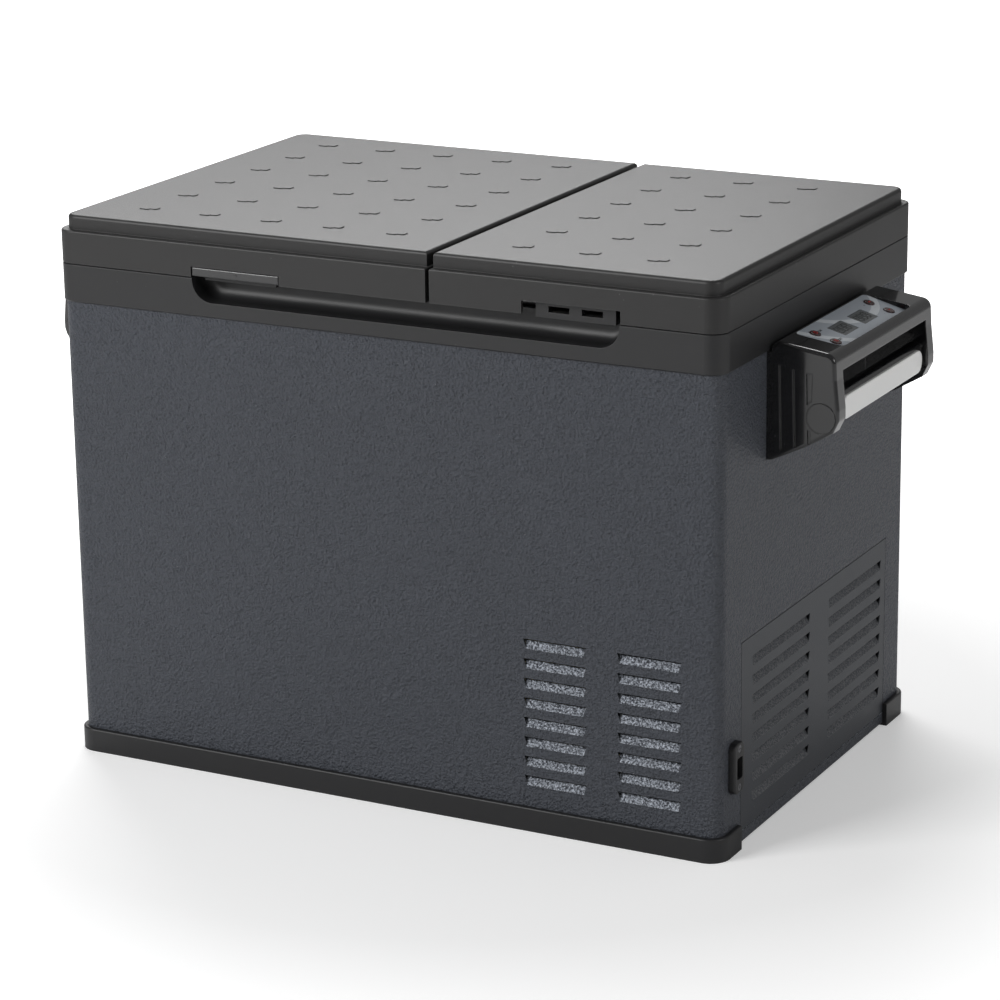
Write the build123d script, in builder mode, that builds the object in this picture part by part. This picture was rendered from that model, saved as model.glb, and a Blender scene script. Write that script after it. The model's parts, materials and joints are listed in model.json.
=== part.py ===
from build123d import *
import os
from math import cos, radians, sin, sqrt

# A two-lid compressor cooler fridge. Millimetres, +X to the right along the
# front, +Y to the back, +Z up; the origin is on the floor under the middle.

# ---------------------------------------------------------------- driving sizes
WIDTH = 600.0            # over the lids, left to right
DEPTH = 392.0            # over the lids, front to back
CORNER_R = 15.0          # plan corner of lids and frame
FRAME_BOTTOM = 394.0     # lower edge of the top frame
FRAME_TOP = 426.0
LID_BOTTOM = 426.7
LID_TIER = 454.2         # top of the lower tier of a lid
LID_TOP = 466.2
TIER_INSET = 5.7         # upper tier stands in from the lower one

SHEET = 1.0              # steel of the cabinet and the grille
SHEET_INSET = 2.1        # cabinet stands in from the lids
SHEET_BOTTOM = 2.6
SKIRT_H = 20.0
SKIRT_PROUD = 4.1        # skirt and feet stand out from the cabinet
SKIRT_END_Y = -158.0
FOOT_START_Y = 150.0
FOOT_LENGTH = 50.0
GAP = 0.2                # general assembly clearance

SPLIT_LEFT = 47.0        # the lids part between these two
SPLIT_RIGHT = 50.5
LID_WALL = 3.0

FRAME_WALL = 3.0
DECK = 5.0               # thickness of the frame's top deck
RECESS_X = (-168.0, 215.0)
RECESS_Z = 406.5
RECESS_DEPTH = 22.0
RECESS_R = 18.0

WALL = 1.5               # tub wall
TUB_Y = 152.0            # half depth of both tubs
LEFT_TUB_X = (-258.0, 22.0)
LEFT_TUB_Z = 62.0
RIGHT_TUB_X = (76.0, 258.0)
RIGHT_TUB_Z = 232.0
TUB_R = 24.0
FLANGE = 7.0

BAY_X = 50.0             # compressor bay: from here to the right side
BAY_TOP = 205.0
PAN = 2.0                # base pan thickness
EVAP_GAP = 9.0           # room between tub and foam for the evaporator
EVAP_TUBE_R = 3.0

HINGE_Y = DEPTH / 2 - 10.0
HINGE_Z = FRAME_TOP + 12.0
HINGE_PIN_R = 2.5
HINGE_EAR = 10.0
HINGE_X = {"left": (-230.0, -20.0), "right": (115.0, 235.0)}

LATCH_X = (-168.7, -86.0)
LATCH_TOP = 435.2
OPEN_NOTCH_X = (131.0, 215.6)
OPEN_NOTCH_TOP = 437.0
NOTCH_DEPTH = 20.0
CATCH_SLOT = (18.0, 5.0)

HANDLE_Y = -4.0          # middle of both handles
HANDLE_HALF = 103.0
HANDLE_OUT = 60.0        # how far a handle stands out from the cabinet
CHEEK = 15.0
PANEL_TILT = 15.0
PANEL_SHIFT = -2.0       # panel sits a little forward on the handle
OVERLAY = (143.0, 40.0)
BUTTON_R = 4.6
BUTTON_X = 55.7
BUTTON_Y = 9.0
DISPLAY = (28.0, 16.8)
DISPLAY_X = 20.5

LOUVRE_PITCH = 16.5      # front louvres
SIDE_PITCH = 16.3
LOUVRE_TAPER = 5.0
LOUVRE_H = 7.4
LOUVRE_SLIT = 2.4
LOUVRE_IN = 4.2
LOUVRE_ROWS = 8
FRONT_VENTS = ((155.7, 55.6), (238.2, 55.4))     # middle X and length
FRONT_VENT_Z = 161.8
SIDE_VENTS = ((-72.2, 117.0), (82.8, 116.0))     # middle Y and length
SIDE_VENT_Z = 152.6
GRILLE_Y = (-152.0, 151.0)
GRILLE_Z = (3.4, 170.0)
GRILLE_SEAM = 0.8

COMPRESSOR = (125.0, 70.0)
COMPRESSOR_R = 55.0
COMPRESSOR_H = 118.0
MOUNT_H = 16.0
FAN_SIZE = 92.0
FAN_THICK = 25.0
FAN_Y, FAN_Z = -65.0, 100.0
FAN_SHAFT_R = 2.0
RUN = 0.05               # radial running clearance

# ---------------------------------------------------------------- worked out
BODY_W = WIDTH - 2 * SHEET_INSET
BODY_D = DEPTH - 2 * SHEET_INSET
BODY_R = CORNER_R - SHEET_INSET
SIDE_X = BODY_W / 2
FRONT_Y = -BODY_D / 2
PAN_Z = SHEET_BOTTOM + PAN
FAN_X = SIDE_X - 9.0 - FAN_THICK / 2

os.makedirs("parts", exist_ok=True)


def save(piece, name):
    """Label a finished piece and write its STEP file."""
    piece.part.label = name
    export_step(piece.part, f"parts/{name}.step")


def block(x, y, z):
    """A box given by its (low, high) pair on each axis, for use in a builder."""
    mid = [(pair[0] + pair[1]) / 2 for pair in (x, y, z)]
    return Pos(*mid) * Box(x[1] - x[0], y[1] - y[0], z[1] - z[0], mode=Mode.PRIVATE)


def louvre_places(columns, top, pitch):
    """Middle, length and top of every louvre of a sheet."""
    return [(middle, length, top - row * pitch) for middle, length in columns for row in range(LOUVRE_ROWS)]


def louvre_holes(surface, columns, top, pitch):
    """The tapered holes of the louvres; surface is the sheet's outer face with local y up."""
    with BuildPart() as holes:
        with BuildSketch(surface):
            for middle, length, z in louvre_places(columns, top, pitch):
                low = length - LOUVRE_TAPER
                with BuildLine():
                    Polyline((middle - length / 2, z), (middle + length / 2, z),
                             (middle + low / 2, z - LOUVRE_H), (middle - low / 2, z - LOUVRE_H), close=True)
                make_face()
        extrude(amount=2 * SHEET, both=True)
    return holes.part


def louvre_blades(surface, columns, top, pitch):
    """The pressed-in sloping blades that rise from the lower edges of the holes."""
    rise = LOUVRE_H - LOUVRE_SLIT
    slope = sqrt(rise**2 + LOUVRE_IN**2)
    normal = surface.z_dir * rise + surface.y_dir * LOUVRE_IN
    with BuildPart() as blades:
        for middle, length, z in louvre_places(columns, top, pitch):
            low = length - LOUVRE_TAPER
            foot = surface.from_local_coords(Vector(middle, z - LOUVRE_H, 0))
            with BuildSketch(Plane(origin=foot, x_dir=surface.x_dir, z_dir=normal)):
                with BuildLine():
                    Polyline((-low / 2, -SHEET), (low / 2, -SHEET),
                             (length / 2, slope), (-length / 2, slope), close=True)
                make_face()
            extrude(amount=-SHEET)
    return blades.part


front_plane = Plane(origin=(0, FRONT_Y, 0), x_dir=(1, 0, 0), z_dir=(0, -1, 0))
side_plane = Plane(origin=(SIDE_X, 0, 0), x_dir=(0, 1, 0), z_dir=(1, 0, 0))

# ---------------------------------------------------------------- outer cabinet
INLET_Y = (-176.0, -157.5)
INLET_Z = (51.0, 93.0)
INLET_BODY = 2.5         # the inlet's body stands in from its flange
with BuildPart() as outer_cabinet:
    with BuildSketch(Plane.XY.offset(SHEET_BOTTOM)):
        RectangleRounded(BODY_W, BODY_D, BODY_R)
        RectangleRounded(BODY_W - 2 * SHEET, BODY_D - 2 * SHEET, BODY_R - SHEET, mode=Mode.SUBTRACT)
    extrude(amount=FRAME_BOTTOM - SHEET_BOTTOM)
    add(louvre_holes(front_plane, FRONT_VENTS, FRONT_VENT_Z, LOUVRE_PITCH), mode=Mode.SUBTRACT)
    add(louvre_blades(front_plane, FRONT_VENTS, FRONT_VENT_Z, LOUVRE_PITCH))
    add(block((SIDE_X - 5, SIDE_X + 5), GRILLE_Y, (GRILLE_Z[0] + 8, GRILLE_Z[1])), mode=Mode.SUBTRACT)
    add(block((SIDE_X - 5, SIDE_X + 5), (INLET_Y[0] + INLET_BODY - GAP, INLET_Y[1] - INLET_BODY + GAP),
              (INLET_Z[0] + 7 - GAP, INLET_Z[1] - 7 + GAP)), mode=Mode.SUBTRACT)
save(outer_cabinet, "outer_cabinet")

# The lower edge of the side opening keeps a folded tie that the grille hangs on.
with BuildPart() as side_grille:
    with BuildSketch(side_plane):
        with Locations(((GRILLE_Y[0] + GRILLE_Y[1]) / 2, (GRILLE_Z[0] + 8 + GRILLE_Z[1]) / 2)):
            RectangleRounded(GRILLE_Y[1] - GRILLE_Y[0] - 2 * GRILLE_SEAM,
                             GRILLE_Z[1] - GRILLE_Z[0] - 8 - 2 * GRILLE_SEAM, 1.5)
    extrude(amount=-SHEET)
    add(louvre_holes(side_plane, SIDE_VENTS, SIDE_VENT_Z, SIDE_PITCH), mode=Mode.SUBTRACT)
    add(louvre_blades(side_plane, SIDE_VENTS, SIDE_VENT_Z, SIDE_PITCH))
    side_grille_tabs = ((GRILLE_Y[0] - 7, GRILLE_Y[0] + 9), (GRILLE_Y[1] - 9, GRILLE_Y[1] + 7))
    for tab in side_grille_tabs:
        for z in (40.0, 130.0):
            add(block((SIDE_X - 2 * SHEET - GAP, SIDE_X - SHEET - GAP), tab, (z, z + 16)))
            seat = (tab[0] + 8, tab[1]) if tab[0] < 0 else (tab[0], tab[1] - 8)
            add(block((SIDE_X - SHEET - GAP, SIDE_X - SHEET + GAP), seat, (z, z + 16)))
save(side_grille, "side_grille")

# ---------------------------------------------------------------- base
with BuildPart() as base_pan:
    with BuildSketch(Plane.XY.offset(SHEET_BOTTOM)):
        RectangleRounded(BODY_W - 2 * SHEET - 2 * GAP, BODY_D - 2 * SHEET - 2 * GAP, BODY_R - SHEET)
    extrude(amount=PAN)
    with BuildSketch(Plane.XY.offset(SHEET_BOTTOM)):
        with Locations((COMPRESSOR[0], COMPRESSOR[1])):
            with GridLocations(100, 80, 2, 2):
                Circle(3.2)
    extrude(amount=PAN, mode=Mode.SUBTRACT)
save(base_pan, "base_pan")


def skirt_ring(keep):
    """The strip round the foot of the cabinet, kept only inside the given boxes."""
    out_w, out_d = BODY_W + 2 * SKIRT_PROUD, BODY_D + 2 * SKIRT_PROUD
    with BuildPart() as ring:
        with BuildSketch(Plane.XY):
            RectangleRounded(out_w, out_d, BODY_R + SKIRT_PROUD)
            RectangleRounded(BODY_W + GAP, BODY_D + GAP, BODY_R, mode=Mode.SUBTRACT)
        extrude(amount=SKIRT_H)
        fillet(ring.faces().sort_by(Axis.Z)[-1].outer_wire().edges(), 1.5)
        with BuildSketch(Plane.XY):
            RectangleRounded(out_w, out_d, BODY_R + SKIRT_PROUD)
            RectangleRounded(BODY_W - 30, BODY_D - 30, BODY_R, mode=Mode.SUBTRACT)
        extrude(amount=SHEET_BOTTOM - GAP)
        add([block(*sizes) for sizes in keep], mode=Mode.INTERSECT)
    return ring


far = WIDTH
front_skirt = skirt_ring([((-far, far), (-far, SKIRT_END_Y), (-1, SKIRT_H + 1))])
save(front_skirt, "front_skirt")
foot_x = SIDE_X + SKIRT_PROUD - FOOT_LENGTH
for side, span in (("left", (-far, -foot_x)), ("right", (foot_x, far))):
    rear_foot = skirt_ring([(span, (FOOT_START_Y, far), (-1, SKIRT_H + 1))])
    save(rear_foot, f"rear_foot_{side}")

with BuildPart() as base_screws:
    with BuildSketch(Plane.XY.offset(1.0)):
        with GridLocations(BODY_W - 60, BODY_D - 60, 2, 2):
            Circle(4.0)
    extrude(amount=SHEET_BOTTOM - 1.0)
save(base_screws, "base_screws")

# ---------------------------------------------------------------- top frame
def recess_tool():
    """The hand recess in the front of the frame: round lower corners, scooped back."""
    x0, x1 = RECESS_X
    with BuildPart() as tool:
        with BuildSketch(Plane(origin=(0, -DEPTH / 2 - 4, 0), x_dir=(1, 0, 0), z_dir=(0, -1, 0))):
            with Locations(((x0 + x1) / 2, RECESS_Z + 20)):
                Rectangle(x1 - x0, 40)
            fillet(vertices().group_by(Axis.Y)[0], RECESS_R)
        extrude(amount=-(RECESS_DEPTH + 4))
        fillet(tool.faces().sort_by(Axis.Y)[-1].edges().sort_by(Axis.Z)[:-1], 9)
    return tool.part


def catch_blocks(x0, x1, top):
    """One catch behind a latch notch, with its two prong slots."""
    with BuildPart() as catch:
        y0 = -DEPTH / 2 + 9
        add(block((x0 + 8, x1 - 8), (y0, y0 + 8), (FRAME_TOP - 1, top - 1.2)))
        for x in (x0 + 28, x1 - 28):
            z0 = FRAME_TOP + 1.6
            add(block((x - CATCH_SLOT[0] / 2, x + CATCH_SLOT[0] / 2), (y0 - 1, y0 + 9),
                      (z0, z0 + CATCH_SLOT[1])), mode=Mode.SUBTRACT)
    return catch.part


with BuildPart() as top_frame:
    with BuildSketch(Plane.XY.offset(FRAME_BOTTOM)):
        RectangleRounded(WIDTH, DEPTH, CORNER_R)
    extrude(amount=FRAME_TOP - FRAME_BOTTOM)
    chamfer(top_frame.faces().sort_by(Axis.Z)[0].edges(), 1.2)
    chamfer(top_frame.faces().sort_by(Axis.Z)[-1].edges(), 0.7)
    with BuildSketch(Plane.XY.offset(FRAME_BOTTOM)):
        RectangleRounded(WIDTH - 2 * FRAME_WALL, DEPTH - 2 * FRAME_WALL, CORNER_R - FRAME_WALL)
    extrude(amount=FRAME_TOP - DECK - FRAME_BOTTOM, mode=Mode.SUBTRACT)
    add(block((RECESS_X[0] - 8, RECESS_X[1] + 8),
              (-DEPTH / 2 + 1, -DEPTH / 2 + RECESS_DEPTH + 4), (RECESS_Z - 5, FRAME_TOP - DECK)))
    add(recess_tool(), mode=Mode.SUBTRACT)
    for x0, x1 in (LEFT_TUB_X, RIGHT_TUB_X):
        with BuildSketch(Plane.XY.offset(FRAME_TOP - DECK)):
            with Locations(((x0 + x1) / 2, 0)):
                RectangleRounded(x1 - x0 + 2 * GAP, 2 * TUB_Y + 2 * GAP, TUB_R)
        extrude(amount=DECK, mode=Mode.SUBTRACT)
        with BuildSketch(Plane.XY.offset(FRAME_TOP - WALL)):
            with Locations(((x0 + x1) / 2, 0)):
                RectangleRounded(x1 - x0 + 2 * (FLANGE + GAP), 2 * (TUB_Y + FLANGE + GAP), TUB_R + FLANGE)
        extrude(amount=WALL, mode=Mode.SUBTRACT)
    for x in HINGE_X["left"] + HINGE_X["right"]:
        add(block((x - 20, x + 20), (HINGE_Y - 9, HINGE_Y + 6.8), (FRAME_TOP - 2, FRAME_TOP + 1)),
            mode=Mode.SUBTRACT)
    add(catch_blocks(LATCH_X[0], LATCH_X[1], LATCH_TOP))
    add(catch_blocks(OPEN_NOTCH_X[0], OPEN_NOTCH_X[1], OPEN_NOTCH_TOP - 1))
    # each catch stands on a rib that crosses the recess
    for x0, x1 in (LATCH_X, OPEN_NOTCH_X):
        add(block((x0 + 8, x1 - 8), (-DEPTH / 2 + 9, -DEPTH / 2 + RECESS_DEPTH + 1),
                  (FRAME_TOP - 3, FRAME_TOP)))
save(top_frame, "top_frame")

# ---------------------------------------------------------------- tubs
def tub(x_span, floor, flange=True):
    """A drawn tub that hangs by its flange in the frame's deck."""
    x0, x1 = x_span
    with BuildPart() as shell:
        with BuildSketch(Plane.XY.offset(floor)):
            with Locations(((x0 + x1) / 2, 0)):
                RectangleRounded(x1 - x0, 2 * TUB_Y, TUB_R)
        extrude(amount=FRAME_TOP - floor)
        fillet(shell.faces().sort_by(Axis.Z)[0].edges(), 12)
        with BuildSketch(Plane.XY.offset(FRAME_TOP - WALL)):
            with Locations(((x0 + x1) / 2, 0)):
                RectangleRounded(x1 - x0 + 2 * FLANGE, 2 * (TUB_Y + FLANGE), TUB_R + FLANGE)
        extrude(amount=WALL)
    with BuildPart() as hollow:
        with BuildSketch(Plane.XY.offset(floor + WALL)):
            with Locations(((x0 + x1) / 2, 0)):
                RectangleRounded(x1 - x0 - 2 * WALL, 2 * (TUB_Y - WALL), TUB_R - WALL)
        extrude(amount=FRAME_TOP - floor)
        fillet(hollow.faces().sort_by(Axis.Z)[0].edges(), 12 - WALL)
    with BuildPart() as made:
        add(shell.part)
        add(hollow.part, mode=Mode.SUBTRACT)
    return made


def evaporator(x_span, low, high, turns):
    """A thin plate round the tub's walls with its refrigerant tube wound outside."""
    x0, x1 = x_span
    mid = (x0 + x1) / 2
    with BuildPart() as coil:
        width, depth = x1 - x0 + 2 * GAP, 2 * TUB_Y + 2 * GAP
        with BuildSketch(Plane.XY.offset(low)):
            with Locations((mid, 0)):
                RectangleRounded(width + 2 * WALL, depth + 2 * WALL, TUB_R + WALL)
                RectangleRounded(width, depth, TUB_R, mode=Mode.SUBTRACT)
        extrude(amount=high - low)
        for turn in range(turns):
            z = low + (turn + 0.5) * (high - low) / turns
            with BuildSketch(Plane.XY.offset(z - EVAP_TUBE_R)):
                with Locations((mid, 0)):
                    grow = 2 * (WALL + 2 * EVAP_TUBE_R - 0.5)
                    RectangleRounded(width + grow, depth + grow, TUB_R + grow / 2)
                    RectangleRounded(width + WALL, depth + WALL, TUB_R, mode=Mode.SUBTRACT)
            extrude(amount=2 * EVAP_TUBE_R)
    return coil


left_tub = tub(LEFT_TUB_X, LEFT_TUB_Z)
save(left_tub, "left_tub")
right_tub = tub(RIGHT_TUB_X, RIGHT_TUB_Z)
save(right_tub, "right_tub")
left_evaporator = evaporator(LEFT_TUB_X, LEFT_TUB_Z + 30, FRAME_TOP - 60, 7)
save(left_evaporator, "left_evaporator")
right_evaporator = evaporator(RIGHT_TUB_X, RIGHT_TUB_Z + 25, FRAME_TOP - 50, 4)
save(right_evaporator, "right_evaporator")

# ---------------------------------------------------------------- foam
with BuildPart() as insulation_foam:
    with BuildSketch(Plane.XY.offset(PAN_Z)):
        RectangleRounded(BODY_W - 2 * SHEET - 2 * GAP, BODY_D - 2 * SHEET - 2 * GAP, BODY_R - SHEET)
    extrude(amount=FRAME_TOP - DECK - PAN_Z)
    for (x0, x1), floor in ((LEFT_TUB_X, LEFT_TUB_Z), (RIGHT_TUB_X, RIGHT_TUB_Z)):
        with BuildSketch(Plane.XY.offset(floor)):
            with Locations(((x0 + x1) / 2, 0)):
                RectangleRounded(x1 - x0 + 2 * EVAP_GAP, 2 * (TUB_Y + EVAP_GAP), TUB_R + EVAP_GAP)
        extrude(amount=FRAME_TOP - 45 - floor, mode=Mode.SUBTRACT)
        with BuildSketch(Plane.XY.offset(FRAME_TOP - 45)):
            with Locations(((x0 + x1) / 2, 0)):
                RectangleRounded(x1 - x0 + 2 * GAP, 2 * (TUB_Y + GAP), TUB_R)
        extrude(amount=45, mode=Mode.SUBTRACT)
    add(block((BAY_X, far), (-far, far), (0, BAY_TOP)), mode=Mode.SUBTRACT)
    add(block((RECESS_X[0] - 8 - GAP, RECESS_X[1] + 8 + GAP),
              (-far, -DEPTH / 2 + RECESS_DEPTH + 4 + GAP), (RECESS_Z - 5 - GAP, far)), mode=Mode.SUBTRACT)
save(insulation_foam, "insulation_foam")

# ---------------------------------------------------------------- hinges
hinge_places = [(x, side) for side in HINGE_X for x in HINGE_X[side]]
with BuildPart() as hinge_brackets:
    for x, _ in hinge_places:
        add(block((x - 20 + GAP, x + 20 - GAP), (HINGE_Y - 9 + GAP, HINGE_Y + 6.6), (FRAME_TOP - 2, FRAME_TOP)))
        with BuildSketch(Plane(origin=(x - HINGE_EAR / 2, 0, 0), x_dir=(0, 1, 0), z_dir=(1, 0, 0))):
            with Locations((HINGE_Y, HINGE_Z)):
                Circle(6.5)
            with Locations((HINGE_Y, (HINGE_Z + FRAME_TOP - 1) / 2)):
                Rectangle(13, HINGE_Z - FRAME_TOP + 1)
            with Locations((HINGE_Y, HINGE_Z)):
                Circle(HINGE_PIN_R + 0.02, mode=Mode.SUBTRACT)
        extrude(amount=HINGE_EAR)
save(hinge_brackets, "hinge_brackets")

with BuildPart() as hinge_pins:
    for x, _ in hinge_places:
        with BuildSketch(Plane(origin=(x - 16, HINGE_Y, HINGE_Z), x_dir=(0, 1, 0), z_dir=(1, 0, 0))):
            Circle(HINGE_PIN_R)
        extrude(amount=32)
save(hinge_pins, "hinge_pins")

# ---------------------------------------------------------------- lids
def lid_outline(span, grow, radius):
    """The lid's plan outline on the current sketch: the shared rectangle cut at the split."""
    RectangleRounded(WIDTH + 2 * grow, DEPTH + 2 * grow, radius)
    with Locations(((span[0] + span[1]) / 2, 0)):
        Rectangle(span[1] - span[0], DEPTH + 10, mode=Mode.INTERSECT)


TREAD_PITCH = 58.3
TREAD_Y0 = -143.0
TREAD_ROWS = 6


def treads(columns, first):
    """Low raised grip marks on a lid: two short bars set side by side."""
    with BuildPart() as marks:
        with BuildSketch(Plane.XY.offset(LID_TOP - 0.3)):
            for column in range(columns):
                for row in range(TREAD_ROWS):
                    x, y = first + column * TREAD_PITCH, TREAD_Y0 + row * TREAD_PITCH
                    with Locations((x - 3.2, y - 1.2), (x + 3.2, y + 1.2)):
                        RectangleRounded(9.5, 8.0, 2.4)
        extrude(amount=1.0)
    return marks.part


def lid(side, span, notch, columns, first_tread):
    """The outer shell, inner panel, foam core and seal of one lid."""
    left = side == "left"
    cut = (-far, span[1]) if left else (span[0], far)
    with BuildPart() as shell:
        with BuildSketch(Plane.XY.offset(LID_BOTTOM)):
            lid_outline(cut, 0, CORNER_R)
        extrude(amount=LID_TIER - LID_BOTTOM)
        fillet(shell.faces().sort_by(Axis.Z)[-1].edges(), 1.5)
        step = (cut[0], cut[1] - 1.2) if left else (cut[0] + 1.2, cut[1])
        with BuildSketch(Plane.XY.offset(LID_TIER - 2)):
            lid_outline(step, -TIER_INSET, CORNER_R - 4)
        extrude(amount=LID_TOP - LID_TIER + 2)
        fillet(shell.faces().sort_by(Axis.Z)[-1].edges(), 3.0)
        # hollow inside
        inner = (cut[0], cut[1] - LID_WALL) if left else (cut[0] + LID_WALL, cut[1])
        with BuildSketch(Plane.XY.offset(LID_BOTTOM)):
            lid_outline(inner, -LID_WALL, CORNER_R - LID_WALL)
        extrude(amount=LID_TIER - LID_WALL - LID_BOTTOM, mode=Mode.SUBTRACT)
        deeper = (cut[0], cut[1] - LID_WALL - 2) if left else (cut[0] + LID_WALL + 2, cut[1])
        with BuildSketch(Plane.XY.offset(LID_BOTTOM)):
            lid_outline(deeper, -TIER_INSET - LID_WALL, CORNER_R - 7)
        extrude(amount=LID_TOP - LID_WALL - LID_BOTTOM, mode=Mode.SUBTRACT)
        for x in HINGE_X[side]:
            add(block((x - 18, x + 18), (HINGE_Y - 9, DEPTH / 2 - 1), (LID_BOTTOM + 3, LID_TIER - 2)))
            add(block((x - HINGE_EAR / 2 - 0.6, x + HINGE_EAR / 2 + 0.6),
                      (HINGE_Y - 8, DEPTH / 2 + 1), (LID_BOTTOM - 1, HINGE_Z + 8)), mode=Mode.SUBTRACT)
            with BuildSketch(Plane(origin=(x - 16.5, HINGE_Y, HINGE_Z), x_dir=(0, 1, 0), z_dir=(1, 0, 0))):
                Circle(HINGE_PIN_R + RUN)
            extrude(amount=33, mode=Mode.SUBTRACT)
        # round the lower back edge about the hinge, so it turns clear of the deck
        back_r = DEPTH / 2 - HINGE_Y
        with BuildSketch(Plane(origin=(-far, 0, 0), x_dir=(0, 1, 0), z_dir=(1, 0, 0))):
            with Locations((HINGE_Y + back_r / 2 + 1, LID_BOTTOM + back_r / 2 - 1)):
                Rectangle(back_r + 2, back_r + 2)
            with Locations((HINGE_Y, LID_BOTTOM + back_r)):
                Circle(back_r, mode=Mode.SUBTRACT)
        extrude(amount=2 * far, mode=Mode.SUBTRACT)
        x0, x1, top = notch
        add(block((x0, x1), (-far, -DEPTH / 2 + NOTCH_DEPTH), (LID_BOTTOM - 1, top)), mode=Mode.SUBTRACT)
        add(treads(columns, first_tread))
    tub_x = LEFT_TUB_X if left else RIGHT_TUB_X
    panel_z = LID_BOTTOM + 3.3
    with BuildPart() as liner:
        with BuildSketch(Plane.XY.offset(panel_z)):
            with Locations(((tub_x[0] + tub_x[1]) / 2, 0)):
                RectangleRounded(tub_x[1] - tub_x[0] + 38, 2 * TUB_Y + 38, TUB_R)
        extrude(amount=2.5)
        with BuildSketch(Plane.XY.offset(FRAME_TOP - 10)):
            with Locations(((tub_x[0] + tub_x[1]) / 2, 0)):
                RectangleRounded(tub_x[1] - tub_x[0] - 12, 2 * TUB_Y - 12, TUB_R - 6)
        extrude(amount=panel_z - FRAME_TOP + 10)
        fillet(liner.faces().sort_by(Axis.Z)[0].edges(), 5)
        with BuildSketch(Plane.XY.offset(FRAME_TOP - 7)):
            with Locations(((tub_x[0] + tub_x[1]) / 2, 0)):
                RectangleRounded(tub_x[1] - tub_x[0] - 18, 2 * TUB_Y - 18, TUB_R - 9)
        extrude(amount=panel_z - FRAME_TOP + 10, mode=Mode.SUBTRACT)
    with BuildPart() as core:
        with BuildSketch(Plane.XY.offset(FRAME_TOP - 7 + GAP)):
            with Locations(((tub_x[0] + tub_x[1]) / 2, 0)):
                RectangleRounded(tub_x[1] - tub_x[0] - 19, 2 * TUB_Y - 19, TUB_R - 10)
        extrude(amount=LID_TOP - LID_WALL - GAP - FRAME_TOP + 7 - GAP)
    with BuildPart() as seal:
        with BuildSketch(Plane.XY.offset(FRAME_TOP + 0.4)):
            with Locations(((tub_x[0] + tub_x[1]) / 2, 0)):
                RectangleRounded(tub_x[1] - tub_x[0] + 30, 2 * TUB_Y + 30, TUB_R + 10)
                RectangleRounded(tub_x[1] - tub_x[0] + 14, 2 * TUB_Y + 14, TUB_R + 4, mode=Mode.SUBTRACT)
        extrude(amount=panel_z - FRAME_TOP - 0.4)
    save(shell, f"{side}_lid_shell")
    save(liner, f"{side}_lid_liner")
    save(core, f"{side}_lid_foam")
    save(seal, f"{side}_lid_seal")


lid("left", (-WIDTH / 2, SPLIT_LEFT), (LATCH_X[0], LATCH_X[1], LATCH_TOP), 5, -240.2)
lid("right", (SPLIT_RIGHT, WIDTH / 2), (OPEN_NOTCH_X[0], OPEN_NOTCH_X[1], OPEN_NOTCH_TOP), 3, 106.2)

# ---------------------------------------------------------------- latch
with BuildPart() as lid_latch:
    z0, z1 = LID_BOTTOM + 0.5, LATCH_TOP - 0.4
    add(block((LATCH_X[0] + 0.5, LATCH_X[1] - 0.5), (-DEPTH / 2 + 0.4, -DEPTH / 2 + 5), (z0, z1)))
    fillet(lid_latch.faces().sort_by(Axis.Y)[0].edges(), 1.2)
    for x in (LATCH_X[0] + 28, LATCH_X[1] - 28):
        slot_z = FRAME_TOP + 1.6
        add(block((x - CATCH_SLOT[0] / 2 + 2, x + CATCH_SLOT[0] / 2 - 2),
                  (-DEPTH / 2 + 4, -DEPTH / 2 + 14), (slot_z + 1, slot_z + CATCH_SLOT[1] - 1)))
    with BuildSketch(Plane(origin=((LATCH_X[0] + LATCH_X[1]) / 2, -DEPTH / 2 + 1, (z0 + z1) / 2),
                           x_dir=(1, 0, 0), z_dir=(0, -1, 0))):
        Circle(1.8)
    extrude(amount=0.8)
save(lid_latch, "lid_latch")

# ---------------------------------------------------------------- compressor bay
cx, cy = COMPRESSOR
mount_top = PAN_Z + MOUNT_H
with BuildPart() as compressor:
    with BuildSketch(Plane.XY.offset(mount_top + 3)):
        with Locations(COMPRESSOR):
            Circle(COMPRESSOR_R)
    extrude(amount=COMPRESSOR_H)
    fillet(compressor.edges().filter_by(GeomType.CIRCLE), 18)
    with BuildSketch(Plane.XY.offset(mount_top + 3 + COMPRESSOR_H / 2 - 3)):
        with Locations(COMPRESSOR):
            Circle(COMPRESSOR_R + 2.5)
    extrude(amount=6)
    with BuildSketch(Plane.XY.offset(mount_top)):
        with Locations(COMPRESSOR):
            RectangleRounded(124, 104, 12)
            with GridLocations(100, 80, 2, 2):
                Circle(3.4, mode=Mode.SUBTRACT)
    extrude(amount=3.5)
save(compressor, "compressor")

with BuildPart() as compressor_mounts:
    with BuildSketch(Plane.XY.offset(PAN_Z)):
        with Locations(COMPRESSOR):
            with GridLocations(100, 80, 2, 2):
                Circle(11)
                Circle(3.4, mode=Mode.SUBTRACT)
    extrude(amount=MOUNT_H)
save(compressor_mounts, "compressor_mounts")

with BuildPart() as compressor_bolts:
    with BuildSketch(Plane.XY.offset(PAN_Z)):
        with Locations(COMPRESSOR):
            with GridLocations(100, 80, 2, 2):
                Circle(3.0)
    extrude(amount=MOUNT_H + 3.5)
    with BuildSketch(Plane.XY.offset(mount_top + 3.5)):
        with Locations(COMPRESSOR):
            with GridLocations(100, 80, 2, 2):
                RegularPolygon(5.5, 6)
    extrude(amount=4)
save(compressor_bolts, "compressor_bolts")

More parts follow.
